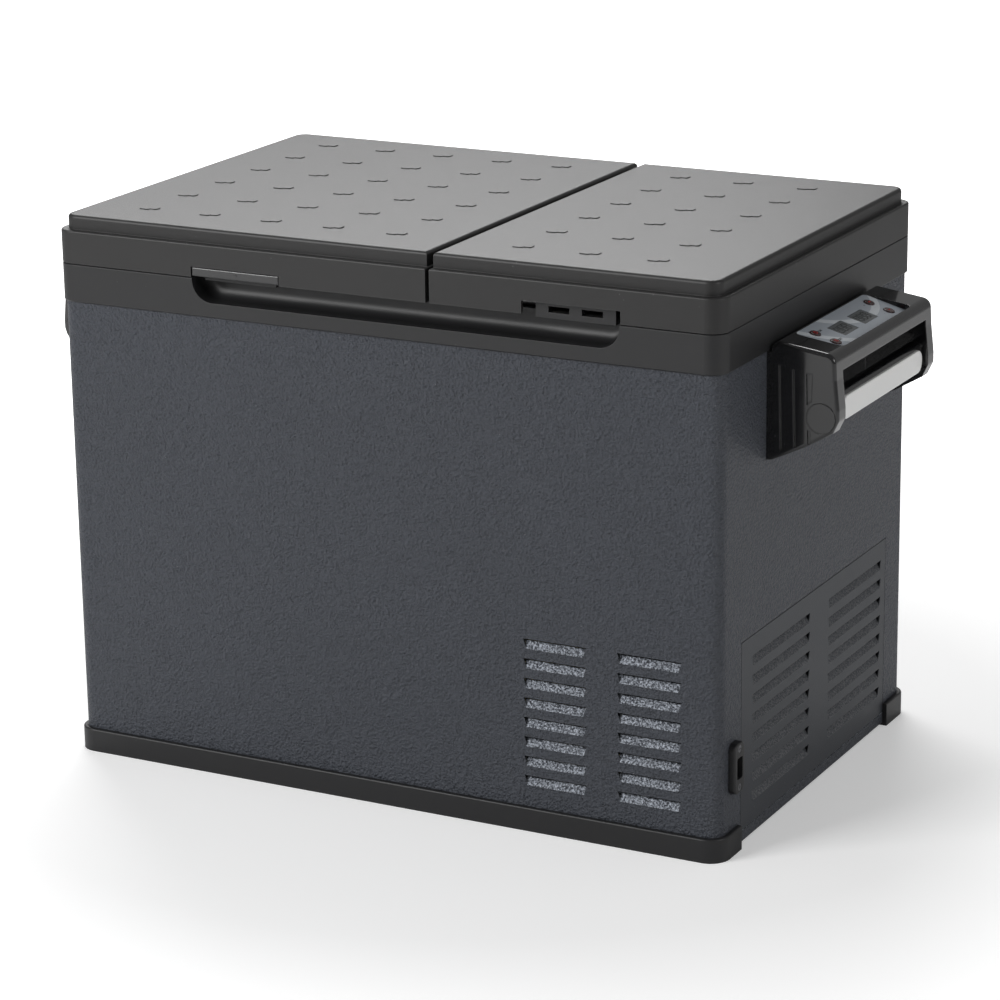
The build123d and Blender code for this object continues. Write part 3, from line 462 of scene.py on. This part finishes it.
@dataclass(frozen=True)
class PressedSheet(Finish):
    """Painted steel sheet with painted shade in its creases and a painted highlight on its ridges,
    whose upward faces, such as louvre blades, carry a speckled painted highlight.

    Attributes:
        blade_highlight: Colour of the speckled painted highlight on faces that look up.
    """

    # colour of the painted highlight on faces that look up
    blade_highlight: Colour = (0.42, 0.46, 0.52)

    def tint(self, tree: bpy.types.NodeTree, tone: object, height: object) -> object:
        """Paint shade into the creases and highlight onto the ridges, and a speckled painted
        highlight on faces that look up.

        Args:
            tree: The material's tree.
            tone: The tone factor socket.
            height: The relief's height socket.

        Returns:
            The colour socket.
        """
        # painted shade and highlight: low creases of the relief are darkened and its ridges
        # lightened
        crease_shading = socket(tree, "MapRange", From_Min=0.25, From_Max=0.75, To_Min=0.55, To_Max=1.35)
        tree.links.new(height, crease_shading.inputs["Value"])
        plain = scaled(tree, super().tint(tree, tone, height), crease_shading.outputs[0])
        # painted highlight: faces that look up, such as louvre blades, are lightened in speckles in
        # place of the light they catch
        facing = socket(tree, "NewGeometry")
        split = socket(tree, "SeparateXYZ")
        tree.links.new(facing.outputs["Normal"], split.inputs[0])
        up = math_node(tree, "GREATER_THAN", split.outputs[2], UPWARD)
        highlight_flecks = texture(tree, "TexNoise", Scale=650.0, Detail=3.0, Roughness=0.7)
        bright = socket(tree, "MapRange", From_Min=0.42, From_Max=0.62)
        tree.links.new(highlight_flecks.outputs[0], bright.inputs["Value"])
        lit = math_node(tree, "MULTIPLY", up, bright.outputs[0])
        return mix_colour(tree, lit, plain, self.blade_highlight)


@dataclass(frozen=True)
class PrintedFilm(Finish):
    """The control panel's film, with pale printed arcs.

    Attributes:
        arcs: Colour of the arcs.
        centre: Centre of the arcs in the frame.
        spacing: Distance from arc to arc in metres.
        share: Width of an arc, as a share of the spacing.
    """

    arcs: Colour = (0.7, 0.74, 0.78)
    centre: tuple[float, float, float] = (0.26, 0.02, 0.4)
    spacing: float = 0.034
    share: float = 0.2

    def tint(self, tree: bpy.types.NodeTree, tone: object, height: object) -> object:
        """Draw rings about the centre over the film's colour.

        Args:
            tree: The material's tree.
            tone: The tone factor socket.
            height: The relief's height socket.

        Returns:
            The colour socket.
        """
        plain = super().tint(tree, tone, height)
        away = socket(tree, "VectorMath", operation="DISTANCE")
        away.inputs[1].default_value = self.centre
        tree.links.new(socket(tree, "TexCoord").outputs["Object"], away.inputs[0])
        rings = math_node(tree, "DIVIDE", away.outputs["Value"], self.spacing)
        turn = math_node(tree, "FRACT", rings)
        return mix_colour(tree, math_node(tree, "LESS_THAN", turn, self.share), plain, self.arcs)


class Finishes:
    """Every finish of the fridge by the material slot it dresses."""

    def __init__(self) -> None:
        """Build each finish once."""
        groups = EffectGroups()
        pale_grey = (0.42, 0.42, 0.42)
        made = {
            # the last colour of each pressed sheet is its painted highlight on upward faces; its
            # creases carry painted shade
            "cabinet_sheet": PressedSheet(
                "grained_cabinet_paint", (0.046, 0.051, 0.063), Grain.LEATHER, 430.0, 0.0030,
                0.40, 0.3, 0.12, 0.5, 0.3, coat=0.1, blade_highlight=(0.66, 0.71, 0.8)),
            # the grille's last colour is the painted highlight on its louvre faces
            "grille_sheet": PressedSheet(
                "satin_grille_paint", (0.040, 0.044, 0.052), Grain.MOULDED, 900.0, 0.00018, 0.48,
                0.2, 0.15, 0.25, 0.3, blade_highlight=(0.15, 0.155, 0.165)),
            "zinc_steel": Finish(
                "zinc_plate", (0.55, 0.56, 0.57), Grain.BRUSHED, 900.0, 0.00003, 0.38,
                metallic=1.0),
            "black_trim": Finish(
                "black_trim_plastic", (0.012, 0.012, 0.013), cells=1500.0, depth=0.00006,
                roughness=0.42, wear=0.35, dust=0.2),
            "screw_steel": Finish(
                "blackened_steel", (0.22, 0.22, 0.23), Grain.SMOOTH, 900.0, 0.00002, 0.35,
                metallic=1.0),
            "frame_plastic": Finish(
                "charcoal_frame_plastic", (0.017, 0.017, 0.018), cells=1700.0, depth=0.00006,
                roughness=0.43, wear=0.35, dust=0.25),
            "lid_plastic": Finish(
                "charcoal_lid_plastic", (0.020, 0.0195, 0.0195), cells=1700.0, depth=0.00008,
                roughness=0.44, wear=0.4, dust=0.35, drift=0.25),
            "tub_plastic": Finish(
                "pale_tub_plastic", (0.72, 0.73, 0.74), Grain.SMOOTH, 300.0, 0.00003, 0.32,
                dust=0.1, pale=pale_grey),
            "evaporator_aluminium": Finish(
                "bare_aluminium", (0.7, 0.7, 0.72), Grain.BRUSHED, 1200.0, 0.00003, 0.36,
                metallic=1.0),
            "foam": Finish("cut_foam", (0.82, 0.74, 0.5), Grain.FOAM, 420.0, 0.0005, 0.9, 0.0),
            "seal_rubber": Finish(
                "soft_black_rubber", (0.05, 0.05, 0.053), cells=1200.0, depth=0.00008,
                roughness=0.7),
            "gloss_black": Finish(
                "piano_black", (0.006, 0.006, 0.007), Grain.SMOOTH, 90.0, 0.00003, 0.13, 0.05,
                dust=0.25, wear=0.15, coat=0.6, rounding=0.0014),
            "compressor_paint": Finish(
                "black_enamel", (0.015, 0.015, 0.016), Grain.SMOOTH, 500.0, 0.00008, 0.3,
                coat=0.3),
            "fan_plastic": Finish("fan_plastic", (0.03, 0.03, 0.032), roughness=0.45),
            "copper": Finish(
                "drawn_copper", (0.72, 0.38, 0.22), Grain.BRUSHED, 900.0, 0.00003, 0.3,
                metallic=1.0),
            "pin_metal": Finish(
                "nickel_blades", (0.75, 0.72, 0.62), Grain.SMOOTH, 800.0, 0.00001, 0.25,
                metallic=1.0),
            "satin_strip": Finish(
                "satin_strip", (0.86, 0.86, 0.85), Grain.BRUSHED, 1500.0, 0.00002, 0.3, 0.08,
                metallic=0.1),
            "overlay_grey": PrintedFilm(
                "panel_film", (0.42, 0.46, 0.51), Grain.SMOOTH, 1500.0, 0.00001, 0.3, 0.05,
                coat=0.3),
            "board_green": Finish(
                "circuit_board", (0.04, 0.2, 0.1), Grain.SMOOTH, 900.0, 0.00002, 0.4),
            "display_window": Finish(
                "display_window", (0.10, 0.11, 0.115), Grain.SMOOTH, 600.0, 0.00001, 0.22, 0.04,
                coat=0.4),
            "button_dark": Finish(
                "button_plastic", (0.045, 0.012, 0.012), Grain.SMOOTH, 700.0, 0.00002, 0.25, 0.05,
                coat=0.5),
            "lamp_lens": Finish(
                "frosted_lens", (0.9, 0.92, 0.95), Grain.SMOOTH, 900.0, 0.00003, 0.35),
            "button_icon": Finish(
                "button_icon", (0.6, 0.03, 0.03), Grain.SMOOTH, 900.0, 0.00001, 0.4),
            "panel_mark": Finish(
                "panel_mark", (0.04, 0.045, 0.05), Grain.SMOOTH, 900.0, 0.00001, 0.4),
            "unlit_segment": Finish(
                "display_segment", (0.03, 0.034, 0.036), Grain.SMOOTH, 900.0, 0.00001, 0.35),
        }
        self.materials = {slot: finish.build(groups) for slot, finish in made.items()}

    def dress(self, piece: bpy.types.Object, slot: str) -> None:
        """Give a piece one finish in all its material slots.

        Args:
            piece: The object.
            slot: The finish's key.
        """
        if not piece.material_slots:
            piece.data.materials.append(self.materials[slot])
        for place in piece.material_slots:
            place.material = self.materials[slot]


# ------------------------------------------------------------------ the object
@dataclass
class Construction:
    """The carried-over nodes of the fridge, each dressed in its own slot's finish.

    Attributes:
        finishes: The finishes.
    """

    frame: dict
    finishes: Finishes

    def dress(self) -> None:
        """Dress each node from the record's table of slots."""
        for row in self.frame["record"]["subparts"]:
            node = self.frame["nodes"][row["node"]]
            self.finishes.dress(node, row["material_slot"])
            LOG.info("dressed %s in %s", row["node"], row["material_slot"])


@dataclass
class ControlPanel:
    """Marks on the right handle's control panel.

    Attributes:
        nodes: The carried-over nodes by name.
        finishes: The finishes.
        lift: How far a mark stands above its surface.
        letter: Height of the small printed words.
        word_gap: Distance from a button's middle to its word's.
        icon: Size of a button's icon.
        upright: A normal's Z above which a face is a node's tilted top.
        digits: Number of digits in a window.
        pitch: Distance from digit to digit.
        digit: Width of a digit.
        tall: Height of a digit.
        stroke: Width of a digit's segment.
    """

    nodes: dict[str, bpy.types.Object]
    finishes: Finishes
    lift: float = 0.15 * MM
    letter: float = 3.4 * MM
    word_gap: float = 9.6 * MM
    icon: float = 4.4 * MM
    upright: float = 0.9
    digits: int = 3
    pitch: float = 7.2 * MM
    digit: float = 4.6 * MM
    tall: float = 9.0 * MM
    stroke: float = 0.9 * MM

    def face(self, node: str) -> Matrix:
        """Place the top of a tilted node: X along +Y, Y towards the cabinet, Z outwards.

        Args:
            node: The node's name.

        Returns:
            A matrix at the middle of the node's top face.
        """
        mesh = self.nodes[node].data
        tops = [p for p in mesh.polygons if p.normal.z > self.upright]
        area = sum(p.area for p in tops)
        normal = sum((p.normal * p.area for p in tops), Vector()) / area
        normal.normalize()
        along = Vector((0, 1, 0))
        across = normal.cross(along)
        low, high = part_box(node)
        middle = (low + high) / 2
        level = max((mesh.vertices[v].co - middle).dot(normal) for p in tops for v in p.vertices)
        place = middle + normal * level
        return Matrix.Translation(place) @ Matrix((along, across, normal)).transposed().to_4x4()

    def flat_piece(self, name: str, outline: list[tuple[float, float]], place: Matrix, slot: str,
                   body: str) -> None:
        """Make a thin raised mark from an outline.

        Args:
            name: The piece's name.
            outline: Points of the outline.
            place: Matrix of the face it lies on.
            slot: Its finish.
            body: The body it rides on.
        """
        built = bmesh.new()
        low, high = ([built.verts.new((x, y, z)) for x, y in outline] for z in (0.0, self.lift))
        for i, start in enumerate(low):
            after = (i + 1) % len(low)
            built.faces.new((start, low[after], high[after], high[i]))
        built.faces.new(low[::-1])
        built.faces.new(high)
        mesh = bpy.data.meshes.new(name)
        built.to_mesh(mesh)
        built.free()
        mesh.transform(place)
        self.lay(name, mesh, slot, body)

    def lay(self, name: str, mesh: bpy.types.Mesh, slot: str, body: str) -> None:
        """Put a finished mark on the panel.

        Args:
            name: The piece's name.
            mesh: Its mesh, in place.
            slot: Its finish.
            body: The body it rides on.
        """
        piece = bpy.data.objects.new(name, mesh)
        bpy.context.scene.collection.objects.link(piece)
        self.finishes.dress(piece, slot)
        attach(piece, body)

    @staticmethod
    def bar(length: float, width: float, x: float = 0.0, y: float = 0.0,
            turn: float = 0.0) -> list[tuple[float, float]]:
        """Give the corners of a small bar.

        Args:
            length: Its length.
            width: Its width.
            x: Middle along X.
            y: Middle along Y.
            turn: Angle in radians.

        Returns:
            Four corner points.
        """
        corners = ((-length, -width), (length, -width), (length, width), (-length, width))
        return [(x + (a * cos(turn) - b * sin(turn)) / 2, y + (a * sin(turn) + b * cos(turn)) / 2)
                for a, b in corners]

    @staticmethod
    def arc_ring(radius: float, width: float, gap: float,
                 steps: int = 20) -> list[tuple[float, float]]:
        """Give the outline of an open ring, as on a power mark.

        Args:
            radius: Middle radius.
            width: Line width.
            gap: Half opening at the top in radians.
            steps: Points along the arc.

        Returns:
            Points of the outline.
        """
        angles = [pi / 2 + gap + i * (2 * pi - 2 * gap) / steps for i in range(steps + 1)]
        outer, inner = ([(reach * cos(a), reach * sin(a)) for a in angles]
                        for reach in (radius + width / 2, radius - width / 2))
        return outer + inner[::-1]

    def words(self, name: str, text: str, place: Matrix, x: float, y: float) -> None:
        """Print a small word on the film.

        Args:
            name: The piece's name.
            text: The word.
            place: Matrix of the film's face.
            x: Place along the film.
            y: Place across the film.
        """
        curve = bpy.data.curves.new(name, "FONT")
        curve.body = text
        curve.size = self.letter
        curve.align_x = "CENTER"
        curve.align_y = "CENTER"
        curve.extrude = self.lift / 2
        label = bpy.data.objects.new(name + "_curve", curve)
        bpy.context.scene.collection.objects.link(label)
        bpy.context.view_layer.update()
        solid = label.evaluated_get(bpy.context.evaluated_depsgraph_get())
        mesh = bpy.data.meshes.new_from_object(solid)
        bpy.data.objects.remove(label)
        mesh.transform(place @ Matrix.Translation((x, y, self.lift / 2)))
        self.lay(name, mesh, "panel_mark", "cabinet")

    def build(self) -> None:
        """Make the button icons, the printed words and the display segments."""
        film = self.face("control_overlay")
        to_film = film.inverted()
        for kind in Panel:
            label = kind.name.lower()
            node = f"{label}_button"
            top = self.face(node)
            for number, outline in enumerate(self.icon_outlines(kind)):
                self.flat_piece(f"{label}_icon_{number}", outline, top, "button_icon", node)
            low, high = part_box(node)
            spot = to_film @ ((low + high) / 2)
            inwards = -self.word_gap if spot.x > 0 else self.word_gap
            self.words(f"{label}_word", kind.value, film, spot.x + inwards, spot.y)
            LOG.info("marked %s", node)
        self.segments(film, to_film)

    def icon_outlines(self, kind: Panel) -> list[list[tuple[float, float]]]:
        """Give the outlines that make up one button's icon.

        Args:
            kind: Which button.

        Returns:
            One outline for each stroke.
        """
        stroke = self.icon / 7
        if kind is Panel.POWER:
            return [self.arc_ring(self.icon / 2.6, stroke, 0.6),
                    self.bar(stroke, self.icon / 2.2, 0, self.icon / 3.2)]
        if kind is Panel.SET:
            return [self.bar(self.icon * 0.8, stroke, 0, step * stroke * 2) for step in (-1, 0, 1)]
        slope = pi / 4 if kind is Panel.UP else -pi / 4
        return [self.bar(self.icon * 0.5, stroke, side * self.icon * 0.16, 0, -side * slope)
                for side in (-1, 1)]

    def segments(self, film: Matrix, to_film: Matrix) -> None:
        """Make the unlit seven-segment digits in each display window.

        Args:
            film: Matrix of the film's face.
            to_film: Its inverse.
        """
        mesh = self.nodes["display_windows"].data
        spots = [to_film @ v.co for v in mesh.vertices]
        where = film @ Matrix.Translation((0, 0, max(s.z for s in spots)))
        digit, tall, stroke = self.digit, self.tall, self.stroke
        for number, side in enumerate((-1, 1)):
            mine = [s for s in spots if s.x * side > 0]
            x_mid = (min(s.x for s in mine) + max(s.x for s in mine)) / 2
            y_mid = (min(s.y for s in mine) + max(s.y for s in mine)) / 2
            for place in range(self.digits):
                x = x_mid + (place - (self.digits - 1) / 2) * self.pitch
                ways = [(x, y_mid + k * tall / 2, digit, stroke) for k in (-1, 0, 1)]
                ways += [(x + i * digit / 2, y_mid + j * tall / 4, stroke, tall / 2 - stroke)
                         for i in (-1, 1) for j in (-1, 1)]
                for index, (sx, sy, length, width) in enumerate(ways):
                    outline = self.bar(length - stroke if length > width else length, width, sx, sy)
                    self.flat_piece(f"segment_{number}_{place}_{index}", outline, where,
                                    "unlit_segment", "cabinet")


@dataclass(frozen=True)
class Softbox:
    """A square lamp aimed at the object.

    Attributes:
        name: The lamp's name.
        place: Where it stands.
        size: Edge length in metres.
        power: Power in watts.
        target: Height above the floor at which it aims, in metres.
    """

    name: str
    place: tuple[float, float, float]
    size: float
    power: float
    target: float = 0.25

    def build(self) -> None:
        """Make the lamp."""
        light = bpy.data.lights.new(self.name, "AREA")
        light.size = self.size
        light.energy = self.power
        lamp = bpy.data.objects.new(self.name, light)
        bpy.context.scene.collection.objects.link(lamp)
        lamp.location = self.place
        lamp.rotation_mode = "QUATERNION"
        aim = Vector((0, 0, self.target)) - Vector(self.place)
        lamp.rotation_quaternion = aim.to_track_quat("-Z", "Y")


@dataclass
class Studio:
    """Floor, backdrop light, lamps and the camera.

    Attributes:
        floor_size: Edge of the floor in metres.
        fade: Distances at which the floor starts and ends its fade to white, in metres.
        near_glow: How white the floor looks to the camera under the object.
        sensor: Width of the camera's sensor in millimetres.
        lens: Focal length in millimetres.
        eye: Where the camera stands.
        back: Direction from the object to the camera.
        roll: Camera roll in degrees.
        ambient: Strength of the surrounding light.
        shift: Lens shift.
        lamps: The softboxes.
    """

    floor_size: float = 14.0
    fade: tuple[float, float] = (0.45, 1.3)
    near_glow: float = 0.3
    sensor: float = 36.0
    lens: float = 127.4
    eye: tuple[float, float, float] = (1.3504, -2.5424, 1.0773)
    back: tuple[float, float, float] = (0.44712, -0.84658, 0.28877)
    roll: float = -0.82
    ambient: float = 0.24
    shift: tuple[float, float] = (-0.0009, -0.0030)
    lamps: tuple[Softbox, ...] = (Softbox("key_softbox", (-1.5, -2.5, 1.7), 1.5, 60.0),
                                  Softbox("top_softbox", (-1.0, 1.5, 1.9), 1.7, 40.0),
                                  Softbox("right_softbox", (2.6, -0.4, 1.2), 0.9, 12.0))

    def build(self) -> None:
        """Make everything round the object."""
        self.camera()
        self.floor()
        self.world()
        for lamp in self.lamps:
            lamp.build()
            LOG.info("lit by %s", lamp.name)
        bpy.context.scene.view_settings.view_transform = "Standard"

    def camera(self) -> None:
        """Set the camera at the product view."""
        back = Vector(self.back).normalized()
        azimuth = atan2(back.x, -back.y)
        right = Vector((cos(azimuth), sin(azimuth), 0))
        up = back.cross(right)
        turn = radians(self.roll)
        right_turned = right * cos(turn) + up * sin(turn)
        up_turned = up * cos(turn) - right * sin(turn)
        data = bpy.data.cameras.new("product_camera")
        data.sensor_width = self.sensor
        data.lens = self.lens
        data.shift_x, data.shift_y = self.shift
        camera = bpy.data.objects.new("product_camera", data)
        bpy.context.scene.collection.objects.link(camera)
        axes = Matrix((right_turned, up_turned, back)).transposed().to_4x4()
        camera.matrix_world = Matrix.Translation(self.eye) @ axes
        bpy.context.scene.camera = camera

    def floor(self) -> None:
        """Make a pale floor that keeps the object's shadow and fades to white."""
        half = self.floor_size / 2
        mesh = bpy.data.meshes.new("studio_floor")
        corners = [(-half, -half, 0), (half, -half, 0), (half, half, 0), (-half, half, 0)]
        mesh.from_pydata(corners, [], [(0, 1, 2, 3)])
        floor = bpy.data.objects.new("studio_floor", mesh)
        bpy.context.scene.collection.objects.link(floor)
        material = bpy.data.materials.new("pale_floor")
        material.use_nodes = True
        tree = material.node_tree
        shader = tree.nodes["Principled BSDF"]
        shader.inputs["Base Color"].default_value = (0.9, 0.9, 0.9, 1)
        shader.inputs["Roughness"].default_value = 0.85
        shader.inputs["Specular IOR Level"].default_value = 0.2
        away = socket(tree, "VectorMath", operation="LENGTH")
        tree.links.new(socket(tree, "TexCoord").outputs["Object"], away.inputs[0])
        fade = socket(tree, "MapRange", From_Min=self.fade[0], From_Max=self.fade[1])
        tree.links.new(away.outputs["Value"], fade.inputs["Value"])
        path = socket(tree, "LightPath")
        far = math_node(tree, "MULTIPLY", fade.outputs[0], 1 - self.near_glow)
        glow = math_node(tree, "ADD", far, self.near_glow)
        seen = math_node(tree, "MULTIPLY", path.outputs["Is Camera Ray"], glow)
        shader.inputs["Emission Color"].default_value = (1, 1, 1, 1)
        tree.links.new(seen, shader.inputs["Emission Strength"])
        mesh.materials.append(material)

    def world(self) -> None:
        """Make surroundings that are white to the camera and dim as a lamp."""
        world = bpy.data.worlds.new("studio_world")
        bpy.context.scene.world = world
        world.use_nodes = True
        tree = world.node_tree
        back = tree.nodes["Background"]
        back.inputs["Color"].default_value = (1, 1, 1, 1)
        path = socket(tree, "LightPath")
        seen = math_node(tree, "MULTIPLY", path.outputs["Is Camera Ray"], 1 - self.ambient)
        strength = math_node(tree, "ADD", seen, self.ambient)
        tree.links.new(strength, back.inputs["Strength"])


def main() -> None:
    """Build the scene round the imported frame."""
    logging.basicConfig(level=logging.INFO, format="%(message)s")
    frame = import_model()
    finishes = Finishes()
    Construction(frame, finishes).dress()
    Studio().build()
    ControlPanel(frame["nodes"], finishes).build()


if __name__ == "__main__":
    main()
